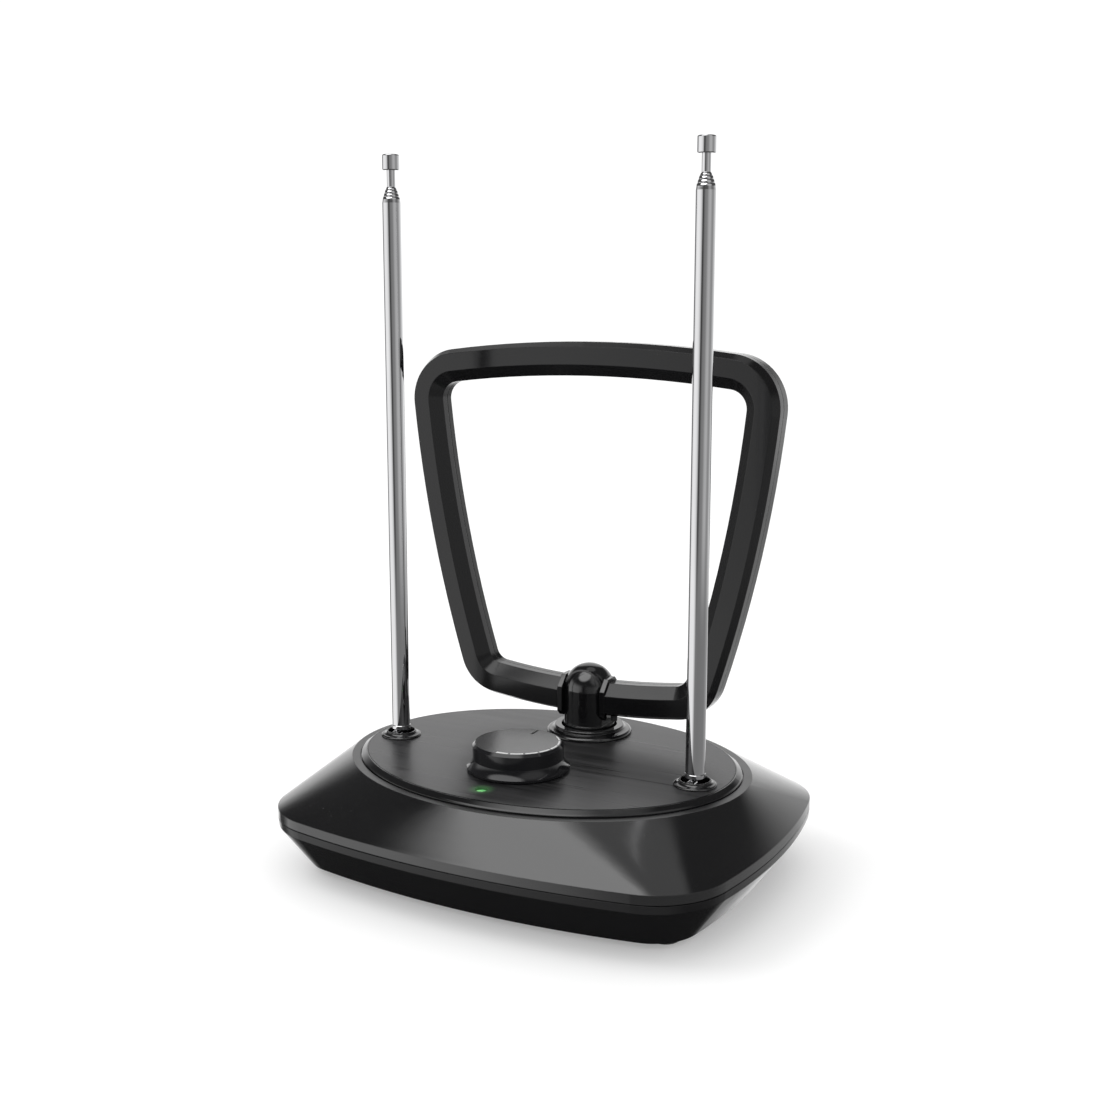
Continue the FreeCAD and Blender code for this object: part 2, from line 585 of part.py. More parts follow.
def loop_ring():
    deck = DECK_Z + SEAT
    profile = [(RING_R, deck), ((RING_R - 0.25, deck + 1.1), (RING_R - 1.2, deck + 1.55)),
               ((RING_LIP_R + 0.9, deck + 1.7), (RING_LIP_R, deck + 2.1)),
               (RING_LIP_R, RING_TOP - 0.25), (RING_LIP_R - 0.25, RING_TOP),
               (RING_MOUTH_R + 0.2, RING_TOP), (RING_MOUTH_R, RING_TOP - 0.2),
               (RING_MOUTH_R, DECK_Z), (POST_R + RUN_FIT, DECK_Z),
               (POST_R + RUN_FIT, RING_FLOOR + 2.0), (NECK_R + RUN_FIT, RING_FLOOR + 2.0),
               (NECK_R + RUN_FIT, RING_FLOOR), (NECK_R + 4.0, RING_FLOOR),
               (NECK_R + 4.0, RING_FLOOR - 2.0),
               (RING_BARREL_R, RING_FLOOR - 2.0), (RING_BARREL_R, deck)]
    return turned(profile, LOOP_X, LOOP_Y)


def ring_nut():
    nut = hexagon(33.0, RING_FLOOR - 1.6, PANEL_LOW - SEAT, LOOP_X, LOOP_Y)
    hole = cylinder(RING_BARREL_R + FIXED_FIT, RING_FLOOR - 3, PANEL_LOW + 1, LOOP_X, LOOP_Y)
    return nut.cut(hole)


# ---- knob -------------------------------------------------------------------------------
def shaft_top():
    return DECK_Z + KNOB_H - 1.6


def potentiometer_shaft():
    low = BOARD_TOP + 1.2 + SEAT
    shaft = cylinder(SHAFT_R, low, shaft_top(), KNOB_X, KNOB_Y)
    flat = box((KNOB_X - 5, KNOB_Y + SHAFT_R - 1.5, shaft_top() - 5),
               (KNOB_X + 5, KNOB_Y + 5, shaft_top() + 1))
    return shaft.cut(flat)


def gain_knob():
    low, top = DECK_Z + KNOB_GAP, DECK_Z + KNOB_H
    neck = low + KNOB_SKIRT_H
    boss_low = DECK_Z + 3.2
    lip = low + KNOB_LIP_H
    waist = ((KNOB_R + KNOB_SKIRT_R) / 2 - 0.35, (lip + neck) / 2)
    inner = KNOB_R - KNOB_WALL
    profile = [(KNOB_SKIRT_R, low), (KNOB_SKIRT_R, lip), (waist, (KNOB_R, neck)),
               (KNOB_R, top - KNOB_CHAMFER),
               (KNOB_R - KNOB_CHAMFER, top), (0, top), (0, top - KNOB_WALL),
               (inner, top - KNOB_WALL), (inner, neck),
               (KNOB_SKIRT_R - KNOB_WALL, low)]
    knob = turned(profile, KNOB_X, KNOB_Y)
    boss = cylinder(SHAFT_R + 2.2, boss_low, top - KNOB_WALL + 0.5, KNOB_X, KNOB_Y)
    bore = cylinder(SHAFT_R + FIXED_FIT, boss_low - 1, shaft_top() + SEAT, KNOB_X, KNOB_Y)
    key = box((KNOB_X - 5, KNOB_Y + SHAFT_R - 1.5 + FIXED_FIT, shaft_top() - 5 + SEAT),
              (KNOB_X + 5, KNOB_Y + 5, shaft_top() + 1))
    pointer = box((KNOB_X - KNOB_LINE_HALF_W, KNOB_Y + KNOB_R * 0.6, top - 0.35),
                  (KNOB_X + KNOB_LINE_HALF_W, KNOB_Y + KNOB_R - KNOB_CHAMFER - 0.6, top + 1))
    return knob.fuse(boss).cut(bore.cut(key)).cut(pointer).removeSplitter()


# ---- loop post --------------------------------------------------------------------------
def loop_post():
    low = POST_LOW
    stud_low = RING_FLOOR - 5.0
    neck_low = RING_FLOOR + SEAT
    dome_mid = POST_R * math.sqrt(0.5)
    body = turned([(0, stud_low), (STUD_R - 0.4, stud_low), (STUD_R, stud_low + 0.4), (STUD_R, neck_low),
                   (NECK_R, neck_low), (NECK_R, low), (POST_R, low), (POST_R, HINGE_Z),
                   ((dome_mid, HINGE_Z + dome_mid), (0, HINGE_Z + POST_R))], LOOP_X, LOOP_Y)
    wide = 2 * POST_R
    side = box((POST_FLAT, -wide, FLAT_LOW_Z), (wide, wide, HINGE_Z + wide))
    sides = [piece.translated(V(LOOP_X, LOOP_Y, 0)) for piece in (side, mirrored(side))]
    core = cylinder(POST_R - POST_STEP, FLAT_LOW_Z - 1, HINGE_Z, LOOP_X, LOOP_Y)
    core = core.fuse(Part.makeSphere(POST_R - POST_STEP, V(LOOP_X, LOOP_Y, HINGE_Z)))
    step = box((LOOP_X - wide, LOOP_Y - wide, FLAT_LOW_Z),
               (LOOP_X + wide, LOOP_Y + POST_STEP_Y, HINGE_Z + wide))
    sides.append(step.cut(core))
    pin_hole = cylinder_along(X_AXIS, HINGE_PIN_R + RUN_FIT, V(LOOP_X - wide, LOOP_Y, HINGE_Z), 2 * wide)
    wire_bore = cylinder(WIRE_BORE_R, stud_low - 1, HINGE_Z - 4, LOOP_X, LOOP_Y)
    for piece in sides + [pin_hole, wire_bore]:
        body = body.cut(piece)
    return body


def post_washer():
    high = RING_FLOOR - SEAT
    return cylinder(NECK_R + 3.0, high - 0.6, high, LOOP_X, LOOP_Y).cut(
        cylinder(STUD_R + FIXED_FIT, high - 2, high + 1, LOOP_X, LOOP_Y))


def post_nut():
    high = RING_FLOOR - 2 * SEAT - 0.6
    nut = hexagon(13.0, high - 3.0, high, LOOP_X, LOOP_Y)
    return nut.cut(cylinder(STUD_R + FIXED_FIT, high - 4, high + 1, LOOP_X, LOOP_Y))


# ---- loop -------------------------------------------------------------------------------
def loop_path():
    """Right half of the loop's outer edge from the top down: (centre, radius, start, end)."""
    low, high = (LOOP_LOW_HALF, LOOP_LOW), (LOOP_HIGH_HALF, LOOP_HIGH)
    dx, dz = high[0] - low[0], high[1] - low[1]
    chord = math.hypot(dx, dz)
    side_r = (chord * chord / 4 + LOOP_SIDE_BOW ** 2) / (2 * LOOP_SIDE_BOW)
    reach = LOOP_SIDE_BOW - side_r
    side = ((low[0] + high[0]) / 2 + dz / chord * reach, (low[1] + high[1]) / 2 - dx / chord * reach)
    top = (0.0, LOOP_HIGH - LOOP_TOP_ARC_R)
    bottom = (0.0, LOOP_LOW + LOOP_LOW_ARC_R)
    rt, rb = LOOP_TOP_CORNER_R, LOOP_LOW_CORNER_R
    top_corner = meeting_point(top, LOOP_TOP_ARC_R - rt, side, side_r - rt, lambda p: p[0] + p[1])
    low_corner = meeting_point(bottom, LOOP_LOW_ARC_R - rb, side, side_r - rb, lambda p: p[0] - p[1])

    def angle(center, through):
        return math.atan2(through[1] - center[1], through[0] - center[0])
    marks = [math.pi / 2, angle(top, top_corner), angle(side, top_corner), angle(side, low_corner),
             angle(bottom, low_corner), -math.pi / 2]
    arcs = [(top, LOOP_TOP_ARC_R), (top_corner, rt), (side, side_r), (low_corner, rb),
            (bottom, LOOP_LOW_ARC_R)]
    return [(c, r, a, b) for (c, r), a, b in zip(arcs, marks, marks[1:])]


def run_around_loop(profile, gap):
    """Sweep a section (inset from the outer edge, depth behind the face) around the loop."""
    halves = []
    for (cx, cz), r, start, end in loop_path():
        spots = [V(LOOP_X + cx + (r - inset) * math.cos(start), LOOP_Y - LOOP_FRONT + depth,
                   HINGE_Z + cz + (r - inset) * math.sin(start)) for inset, depth in profile]
        turn = math.degrees(start - end)
        piece = face_of(spots).revolve(V(LOOP_X + cx, 0, HINGE_Z + cz), Y_AXIS, turn)
        halves += [piece, piece.mirror(V(LOOP_X, 0, 0), X_AXIS)]
    opening = box((LOOP_X - gap, LOOP_Y - 40, HINGE_Z - 40), (LOOP_X + gap, LOOP_Y + 40, HINGE_Z + 40))
    return fused(halves).cut(opening)


def front_profile(depth, inset=0.0):
    """Outline of the front half's outside, from the outer seam over the face to the inner one."""
    slope = inset * 0.6
    return [(inset, depth), (inset, LOOP_EDGE_D + slope), (LOOP_EDGE_W + slope, inset),
            (LOOP_EDGE_W + LOOP_FACE_W - slope, inset), (LOOP_W - inset, LOOP_BEVEL_D + slope),
            (LOOP_W - inset, depth)]


def rear_profile(depth, inset=0.0):
    back = LOOP_DEPTH - inset
    slope = inset * 0.4
    return [(inset, depth), (inset, back), (LOOP_W - LOOP_REAR_BEVEL - slope, back),
            (LOOP_W - inset, back - LOOP_REAR_BEVEL), (LOOP_W - inset, depth)]


def loop_front_shell():
    seam = LOOP_SEAM_D - SHELL_SEAM / 2
    profile = front_profile(seam) + list(reversed(front_profile(seam, LOOP_WALL)))
    return run_around_loop(profile, LOOP_GAP)


def loop_rear_shell():
    seam = LOOP_SEAM_D + SHELL_SEAM / 2
    lip = LOOP_SEAM_D - 1.4
    near, far = LOOP_WALL + SEAT, LOOP_WALL + SEAT + 0.9
    outer = rear_profile(seam)
    inner = [(far, lip), (near, lip), (near, seam)]
    floor = [(far, LOOP_DEPTH - LOOP_WALL), (LOOP_W - far, LOOP_DEPTH - LOOP_WALL)]
    other = [(LOOP_W - near, seam), (LOOP_W - near, lip), (LOOP_W - far, lip)]
    return run_around_loop(outer + other + list(reversed(floor)) + inner, LOOP_GAP)


def loop_conductor():
    inset = (LOOP_W - CONDUCTOR_W) / 2
    depth = LOOP_DEPTH - LOOP_WALL - 2.0
    profile = [(inset, depth), (inset, depth - CONDUCTOR_T), (LOOP_W - inset, depth - CONDUCTOR_T),
               (LOOP_W - inset, depth)]
    return run_around_loop(profile, LOOP_GAP + TENON_L + 1)


def hinge_block(s):
    """Solid end of the bar, with a tenon inside the shells and the hinge pin's bore."""
    inner, outer = POST_FLAT + 2 * SEAT, LOOP_GAP - 2 * SEAT
    front, back = -LOOP_FRONT, LOOP_DEPTH - LOOP_FRONT
    cut = 2.0
    ring = [(front, BLOCK_LOW + cut), (front + cut, BLOCK_LOW), (back - cut, BLOCK_LOW),
            (back, BLOCK_LOW + cut), (back, BLOCK_HIGH - cut), (back - cut, BLOCK_HIGH),
            (front + LOOP_BEVEL_D, BLOCK_HIGH), (front, BLOCK_HIGH - LOOP_BEVEL_W)]
    block = face_of([V(inner, y, z) for y, z in ring]).extrude(V(outer - inner, 0, 0))
    margin = LOOP_WALL + 1.7
    tenon = box((outer - 0.5, front + LOOP_WALL + 1.1, LOOP_LOW + margin),
                (outer + TENON_L, back - LOOP_WALL - 0.1, LOOP_LOW + LOOP_EDGE_W + LOOP_FACE_W))
    piece = block.fuse(tenon).removeSplitter()
    piece = piece.cut(cylinder_along(X_AXIS, HINGE_PIN_R + FIXED_FIT, V(0, 0, 0), 40))
    if s < 0:
        piece = mirrored(piece)
    return piece.translated(V(LOOP_X, LOOP_Y, HINGE_Z))


def hinge_pin():
    reach = LOOP_GAP - 4 * SEAT
    pin = cylinder_along(X_AXIS, HINGE_PIN_R, V(LOOP_X - reach, LOOP_Y, HINGE_Z), 2 * reach)
    return pin.makeChamfer(0.3, [e for e in pin.Edges if e.Closed])


def nub_x():
    return LOOP_X + LOOP_GAP + 2.2


def nub_y():
    return LOOP_Y - 3.4


def hinge_screw():
    """Short screw under the right bar end that holds the shells on the block's tenon."""
    seat = HINGE_Z + LOOP_LOW + 0.15
    tip = seat + 6.5
    return turned([(0, seat - NUB_H), (NUB_R - 0.4, seat - NUB_H), (NUB_R, seat - NUB_H + 0.4),
                   (NUB_R, seat), (0.8, seat), (0.8, tip - 0.5), (0.4, tip), (0, tip)], nub_x(), nub_y())


def hinge_screw_hole():
    low = HINGE_Z + LOOP_LOW - 1
    return cylinder(0.8 + FIXED_FIT, low, low + 8.0, nub_x(), nub_y())


def loop_screw_spots():
    """Places along the middle of the section, on the rear face."""
    spots = []
    for (cx, cz), r, start, end in (loop_path()[0], loop_path()[2]):
        for share in (0.45, 0.92) if r == LOOP_TOP_ARC_R else (0.35, 0.85):
            a = start + (end - start) * share
            mid = r - LOOP_W / 2
            spots.append((cx + mid * math.cos(a), cz + mid * math.sin(a)))
    return spots


def loop_screws():
    """Countersunk-style heads let into the back of the loop."""
    pieces = []
    back = LOOP_Y - LOOP_FRONT + LOOP_DEPTH
    for x, z in loop_screw_spots():
        for s in (-1, 1):
            head = cylinder_along(Y_AXIS, 1.5, V(LOOP_X + s * x, back - 0.9, HINGE_Z + z), 0.8)
            shank = cylinder_along(Y_AXIS, 0.8, V(LOOP_X + s * x, back - LOOP_WALL, HINGE_Z + z), 1.0)
            pieces.append(head.fuse(shank).removeSplitter())
    return pieces


def loop_screw_holes():
    back = LOOP_Y - LOOP_FRONT + LOOP_DEPTH
    cuts = []
    for x, z in loop_screw_spots():
        for s in (-1, 1):
            spot = V(LOOP_X + s * x, back - 0.9 - SEAT, HINGE_Z + z)
            cuts.append(cylinder_along(Y_AXIS, 1.5 + FIXED_FIT, spot, 3))
            cuts.append(cylinder_along(Y_AXIS, 0.8 + FIXED_FIT, spot - V(0, 3, 0), 4))
    return Part.makeCompound(cuts)


# ---- rods -------------------------------------------------------------------------------
def rod_turret(x):
    """Swivelling fork that stands in the collar's bore."""
    r = COLLAR_BORE_R - RUN_FIT
    base = cylinder(r, TURRET_LOW, FORK_FLOOR, x, ROD_Y)
    stem = cylinder(TURRET_STEM_R, COLLAR_LOW + SEAT, TURRET_LOW + 0.5, x, ROD_Y)
    cheek = box((x - FORK_CHEEK_R, ROD_Y - r, FORK_FLOOR - 0.5), (x + FORK_CHEEK_R, ROD_Y + r, PIVOT_Z))
    round_top = cylinder_along(Y_AXIS, FORK_CHEEK_R, V(x, ROD_Y - r, PIVOT_Z), 2 * r)
    cheek = cheek.fuse(round_top).common(cylinder(r, TURRET_LOW, LIP_Z + 5, x, ROD_Y))
    slot = TONGUE_HALF_T + RUN_FIT
    gap = box((x - r, ROD_Y - slot, FORK_FLOOR), (x + r, ROD_Y + slot, LIP_Z + 5))
    pin_hole = cylinder_along(Y_AXIS, PIVOT_PIN_R + FIXED_FIT, V(x, ROD_Y - 2 * r, PIVOT_Z), 4 * r)
    pilot = cylinder(1.1 + FIXED_FIT, COLLAR_LOW - 1, FORK_FLOOR - 0.7, x, ROD_Y)
    return base.fuse(stem).fuse(cheek.cut(gap)).cut(pin_hole).cut(pilot).removeSplitter()


def pivot_pin(x):
    reach = COLLAR_BORE_R - 0.75
    return cylinder_along(Y_AXIS, PIVOT_PIN_R, V(x, ROD_Y - reach, PIVOT_Z), 2 * reach)


def turret_washer(x):
    high = COLLAR_LOW - SEAT
    hole = cylinder(1.1 + FIXED_FIT, high - 2, high + 1, x, ROD_Y)
    return cylinder(5.0, high - 0.6, high, x, ROD_Y).cut(hole)


def turret_screw(x):
    seat = COLLAR_LOW - 2 * SEAT - 0.6
    return screw(x, ROD_Y, seat - 1.7, 3.2, 1.7, 1.1, FORK_FLOOR - 0.9)


def rod_foot(x):
    """Tongue on the pivot pin, visible flange, and spigot inside the outer tube."""
    tongue = box((x - TONGUE_HALF_T, ROD_Y - TONGUE_HALF_T, PIVOT_Z),
                 (x + TONGUE_HALF_T, ROD_Y + TONGUE_HALF_T, FLANGE_Z + 0.4))
    heel = cylinder_along(Y_AXIS, TONGUE_HALF_T, V(x, ROD_Y - TONGUE_HALF_T, PIVOT_Z), 2 * TONGUE_HALF_T)
    edge = 0.25
    spigot_r = SECTION_R[0] - TUBE_WALL - FIXED_FIT
    flange = turned([(0, FLANGE_Z), (FLANGE_R - edge, FLANGE_Z), (FLANGE_R, FLANGE_Z + edge),
                     (FLANGE_R, SPIGOT_Z - edge), (FLANGE_R - edge, SPIGOT_Z), (spigot_r, SPIGOT_Z),
                     (spigot_r, SPIGOT_Z + SPIGOT_L), (0, SPIGOT_Z + SPIGOT_L)], x, ROD_Y)
    foot = tongue.fuse(heel).fuse(flange).removeSplitter()
    return foot.cut(cylinder_along(Y_AXIS, PIVOT_PIN_R + RUN_FIT, V(x, ROD_Y - 5, PIVOT_Z), 10))


def rod_section(x, k):
    """Tube number k, with a swaged mouth above and, on inner tubes, a ferrule below."""
    r = SECTION_R[k]
    bore = r - TUBE_WALL
    top = ROD_TOP_Z + k * SECTION_STEP
    next_r = SECTION_R[k + 1] if k + 1 < SECTION_COUNT else TIP_R
    mouth = next_r + RUN_FIT
    rim = min(r - 0.15, bore + 0.15)
    if k == 0:
        low = SPIGOT_Z + SEAT
        foot = [(r, low)]
    else:
        low = SPIGOT_Z + SPIGOT_L + 0.6 * k
        wide = SECTION_R[k - 1] - TUBE_WALL - FERRULE_GAP
        foot = [(wide, low), (wide, low + FERRULE_L), (r, low + FERRULE_L + 0.3)]
    profile = foot + [(r, top - SWAGE_L), (rim, top), (mouth, top), (mouth, top - SWAGE_L),
                      (bore, top - SWAGE_L - 0.3), (bore, low)]
    return turned(profile, x, ROD_Y)


def rod_tip(x):
    low = SPIGOT_Z + SPIGOT_L + 0.6 * SECTION_COUNT
    wide = SECTION_R[-1] - TUBE_WALL - FERRULE_GAP
    top = CAP_Z + CAP_H - 1.8
    return turned([(0, low), (wide, low), (wide, low + FERRULE_L), (TIP_R, low + FERRULE_L + 0.3),
                   (TIP_R, top), (0, top)], x, ROD_Y)


def rod_cap(x):
    top = CAP_Z + CAP_H
    edge = 0.6
    bore_top = top - 1.8 + SEAT
    return turned([(TIP_R + FIXED_FIT, CAP_Z), (CAP_R - 0.3, CAP_Z), (CAP_R, CAP_Z + 0.3),
                   (CAP_R, top - edge), ((CAP_R - 0.18, top - 0.18), (CAP_R - edge, top)),
                   (0, top), (0, bore_top), (TIP_R + FIXED_FIT, bore_top)], x, ROD_Y)


# ---- assembly ---------------------------------------------------------------------------
def all_pieces():
    pieces = {
        "upper_shell": upper_shell(), "lower_shell": lower_shell(),
        "deck_bezel": deck_bezel(), "deck_plate": deck_plate(),
        "rubber_feet": rubber_feet(), "case_screws": case_screws(),
        "ballast_plate": ballast_plate(), "ballast_screws": ballast_screws(),
        "circuit_board": circuit_board(), "board_screws": board_screws(),
        "shield_can": shield_can(), "matching_core": matching_core(),
        "potentiometer_body": potentiometer_body(), "potentiometer_nut": potentiometer_nut(),
        "power_led": power_led(), "light_pipe": light_pipe(),
        "coax_socket": coax_socket(), "coax_nut": coax_nut(), "dc_jack": dc_jack(),
        "inner_leads": inner_leads(),
        "collar_nuts": collar_nuts(), "rod_contacts": rod_contacts(),
        "loop_ring": loop_ring(), "ring_nut": ring_nut(),
        "potentiometer_shaft": potentiometer_shaft(), "gain_knob": gain_knob(),
        "loop_post": loop_post(), "post_washer": post_washer(), "post_nut": post_nut(),
        "loop_front_shell": loop_front_shell().cut(hinge_screw_hole()),
        "loop_rear_shell": loop_rear_shell().cut(loop_screw_holes()),
        "loop_conductor": loop_conductor(),
        "hinge_blocks": [hinge_block(-1), hinge_block(1).cut(hinge_screw_hole())],
        "hinge_pin": hinge_pin(), "hinge_screw": hinge_screw(), "loop_screws": loop_screws(),
    }
    for side, x in (("left", -ROD_X), ("right", ROD_X)):
        pieces[side + "_rod_collar"] = rod_collar(x)
        pieces[side + "_rod_turret"] = rod_turret(x)
        pieces[side + "_pivot_pin"] = pivot_pin(x)
        pieces[side + "_turret_washer"] = turret_washer(x)
        pieces[side + "_turret_screw"] = turret_screw(x)
        pieces[side + "_rod_foot"] = rod_foot(x)
        for k in range(SECTION_COUNT):
            pieces[side + "_rod_section_" + str(k + 1)] = rod_section(x, k)
        pieces[side + "_rod_tip"] = rod_tip(x)
        pieces[side + "_rod_cap"] = rod_cap(x)
    return pieces


def main():
    os.makedirs("parts", exist_ok=True)
    for name, shape in all_pieces().items():
        if isinstance(shape, list):
            shape = Part.makeCompound(shape)
        shape.exportStep("parts/" + name + ".step")


main()
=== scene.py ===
import json
import math
import bmesh
import bpy
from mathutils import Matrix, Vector


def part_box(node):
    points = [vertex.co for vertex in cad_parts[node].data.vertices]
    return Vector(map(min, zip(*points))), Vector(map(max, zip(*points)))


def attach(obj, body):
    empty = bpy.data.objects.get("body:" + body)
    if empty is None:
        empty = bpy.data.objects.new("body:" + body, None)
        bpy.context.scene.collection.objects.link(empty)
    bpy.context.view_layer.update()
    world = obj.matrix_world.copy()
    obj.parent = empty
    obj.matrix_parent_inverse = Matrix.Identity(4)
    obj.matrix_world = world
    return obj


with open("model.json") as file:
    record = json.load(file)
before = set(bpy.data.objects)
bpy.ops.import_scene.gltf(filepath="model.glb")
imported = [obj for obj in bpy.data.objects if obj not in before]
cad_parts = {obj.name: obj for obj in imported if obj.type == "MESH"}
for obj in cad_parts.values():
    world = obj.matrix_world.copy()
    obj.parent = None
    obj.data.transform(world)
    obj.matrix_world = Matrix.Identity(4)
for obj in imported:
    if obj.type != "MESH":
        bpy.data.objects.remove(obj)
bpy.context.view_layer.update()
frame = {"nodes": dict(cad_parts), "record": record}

nodes = frame["nodes"]
MM = 0.001


# ---- places taken from the frame ---------------------------------------------------------
def middle_of(node):
    low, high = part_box(node)
    return (low + high) / 2


knob_low, knob_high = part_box("gain_knob")
KNOB = Vector(((knob_low.x + knob_high.x) / 2, (knob_low.y + knob_high.y) / 2, knob_high.z))
DECK_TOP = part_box("deck_plate")[1].z
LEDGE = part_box("upper_shell")[1].z
LIGHT = middle_of("light_pipe")
ROD_SPOTS = {side: middle_of(side + "_rod_section_1") for side in ("left", "right")}


# ---- node helpers ------------------------------------------------------------------------
class Sheet:
    """A node tree being drawn: adds nodes and joins sockets."""

    def __init__(self, tree):
        self.tree = tree

    def add(self, kind, **settings):
        node = self.tree.nodes.new(kind)
        for key, value in settings.items():
            setattr(node, key, value)
        return node

    def join(self, source, target):
        self.tree.links.new(source, target)

    def feed(self, node, name, value):
        """Sets a socket to a number, or joins it to another socket."""
        socket = node.inputs[name]
        if isinstance(value, bpy.types.NodeSocket):
            self.join(value, socket)
        else:
            socket.default_value = value

    def math(self, operation, a, b=0.0, clamp=False):
        node = self.add("ShaderNodeMath", operation=operation, use_clamp=clamp)
        self.feed(node, 0, a)
        self.feed(node, 1, b)
        return node.outputs[0]

    def span(self, value, low, high, to_low=0.0, to_high=1.0, smooth=False):
        """Maps a range of values to another, held at both ends."""
        node = self.add("ShaderNodeMapRange")
        node.interpolation_type = "SMOOTHSTEP" if smooth else "LINEAR"
        for name, number in (("Value", value), ("From Min", low), ("From Max", high),
                             ("To Min", to_low), ("To Max", to_high)):
            self.feed(node, name, number)
        return node.outputs["Result"]

    def mix(self, share, first, second):
        node = self.add("ShaderNodeMix", data_type="RGBA")
        self.feed(node, 0, share)
        for index, value in ((6, first), (7, second)):
            if isinstance(value, bpy.types.NodeSocket):
                self.join(value, node.inputs[index])
            else:
                node.inputs[index].default_value = (*value, 1)
        return node.outputs[2]

    def noise(self, vector, scale, detail=3.0, rough=0.5):
        node = self.add("ShaderNodeTexNoise")
        self.feed(node, "Vector", vector)
        self.feed(node, "Scale", scale)
        self.feed(node, "Detail", detail)
        self.feed(node, "Roughness", rough)
        return node.outputs["Fac"]

    def stretched(self, vector, scale):
        node = self.add("ShaderNodeMapping")
        self.feed(node, "Vector", vector)
        self.feed(node, "Scale", scale)
        return node.outputs["Vector"]

    def place(self):
        return self.add("ShaderNodeTexCoord").outputs["Object"]

    def parts_of(self, vector):
        node = self.add("ShaderNodeSeparateXYZ")
        self.join(vector, node.inputs[0])
        return node.outputs


def group(name, inputs, outputs):
    """An empty shader group of plain numbers; returns its tree, its sheet, its inputs and its outputs."""
    tree = bpy.data.node_groups.new(name, "ShaderNodeTree")
    for label, default in inputs:
        socket = tree.interface.new_socket(label, in_out="INPUT", socket_type="NodeSocketFloat")
        socket.default_value = default
    for label in outputs:
        tree.interface.new_socket(label, in_out="OUTPUT", socket_type="NodeSocketFloat")
    sheet = Sheet(tree)
    return tree, sheet, sheet.add("NodeGroupInput").outputs, sheet.add("NodeGroupOutput").inputs


def moulded_gloss_group():
    """Injection-moulded plastic: slow ripple, fine grain, faint smudges and settled dust."""
    tree, s, given, out = group("moulded_gloss", [("Base Rough", 0.1), ("Smudge", 0.06), ("Dust", 0.02)],
                                ["Roughness", "Height", "Dust Mask"])
    here = s.place()
    ripple = s.noise(here, 38.0, 1.0)
    grain = s.noise(here, 2600.0, 2.0)
    smudges = s.span(s.noise(here, 26.0, 4.0, 0.62), 0.46, 0.72)
    swirls = s.span(s.noise(s.stretched(here, (60.0, 420.0, 420.0)), 1.0, 3.0), 0.55, 0.75)
    specks = s.span(s.noise(here, 1500.0, 1.0), 0.74, 0.8)
    patches = s.span(s.noise(here, 55.0, 3.0), 0.45, 0.7)
    rough = s.math("ADD", given["Base Rough"], s.math("MULTIPLY", smudges, given["Smudge"]))
    rough = s.math("ADD", rough, s.math("MULTIPLY", swirls, 0.015))
    dust = s.math("MULTIPLY", s.math("MULTIPLY", specks, patches), given["Dust"], clamp=True)
    s.join(s.math("ADD", rough, s.math("MULTIPLY", dust, 0.5), clamp=True), out["Roughness"])
    s.join(s.math("ADD", s.math("MULTIPLY", ripple, 0.9), s.math("MULTIPLY", grain, 0.02)), out["Height"])
    s.join(dust, out["Dust Mask"])
    return tree


def brushed_group():
    """Fine straight brushing: tone, roughness and height along one direction."""
    tree, s, given, out = group("brushed_lines", [("Along X", 6.0), ("Along Y", 1400.0), ("Along Z", 1400.0)],
                                ["Tone", "Roughness", "Height"])
    scale = s.add("ShaderNodeCombineXYZ")
    for index, label in enumerate(("Along X", "Along Y", "Along Z")):
        s.join(given[label], scale.inputs[index])
    spread = s.add("ShaderNodeVectorMath", operation="MULTIPLY")
    s.join(s.place(), spread.inputs[0])
    s.join(scale.outputs[0], spread.inputs[1])
    fine = s.noise(spread.outputs[0], 1.0, 4.0, 0.7)
    broad = s.noise(spread.outputs[0], 0.22, 3.0, 0.6)
    tone = s.math("ADD", s.math("MULTIPLY", fine, 0.75), s.math("MULTIPLY", broad, 0.25))
    s.join(s.span(tone, 0.35, 0.65), out["Tone"])
    s.join(s.span(tone, 0.35, 0.65, 0.26, 0.42), out["Roughness"])
    s.join(tone, out["Height"])
    return tree


def plated_group():
    """Drawn and plated metal: hairlines along the length, a little haze and finger marks."""
    tree, s, given, out = group("plated_metal", [("Polish", 0.05), ("Haze", 0.08)],
                                ["Roughness", "Height", "Tint"])
    here = s.place()
    lines = s.noise(s.stretched(here, (2200.0, 2200.0, 9.0)), 1.0, 2.0, 0.6)
    marks = s.span(s.noise(here, 70.0, 3.0, 0.6), 0.52, 0.74)
    rough = s.math("ADD", given["Polish"], s.math("MULTIPLY", marks, given["Haze"]))
    s.join(s.math("ADD", rough, s.math("MULTIPLY", lines, 0.02), clamp=True), out["Roughness"])
    s.join(lines, out["Height"])
    s.join(s.span(s.noise(here, 22.0, 3.0), 0.35, 0.7), out["Tint"])
    return tree


def soft_grain_group():
    """Satin or rubber skin: spark texture with a slow change of tone."""
    tree, s, given, out = group("soft_grain", [("Grain", 1800.0), ("Rough Low", 0.4), ("Rough High", 0.6)],
                                ["Roughness", "Height", "Tone"])
    here = s.place()
    grain = s.noise(here, given["Grain"], 3.0, 0.6)
    slow = s.noise(here, 45.0, 3.0)
    s.join(s.span(slow, 0.35, 0.65, given["Rough Low"], given["Rough High"]), out["Roughness"])
    s.join(grain, out["Height"])
    s.join(s.span(s.math("ADD", s.math("MULTIPLY", grain, 0.5), s.math("MULTIPLY", slow, 0.5)), 0.38, 0.62),
           out["Tone"])
    return tree


MOULDED, BRUSHED, PLATED, GRAIN = (moulded_gloss_group(), brushed_group(), plated_group(), soft_grain_group())


# ---- materials ---------------------------------------------------------------------------
BLACK = (0.0052, 0.0052, 0.0056)


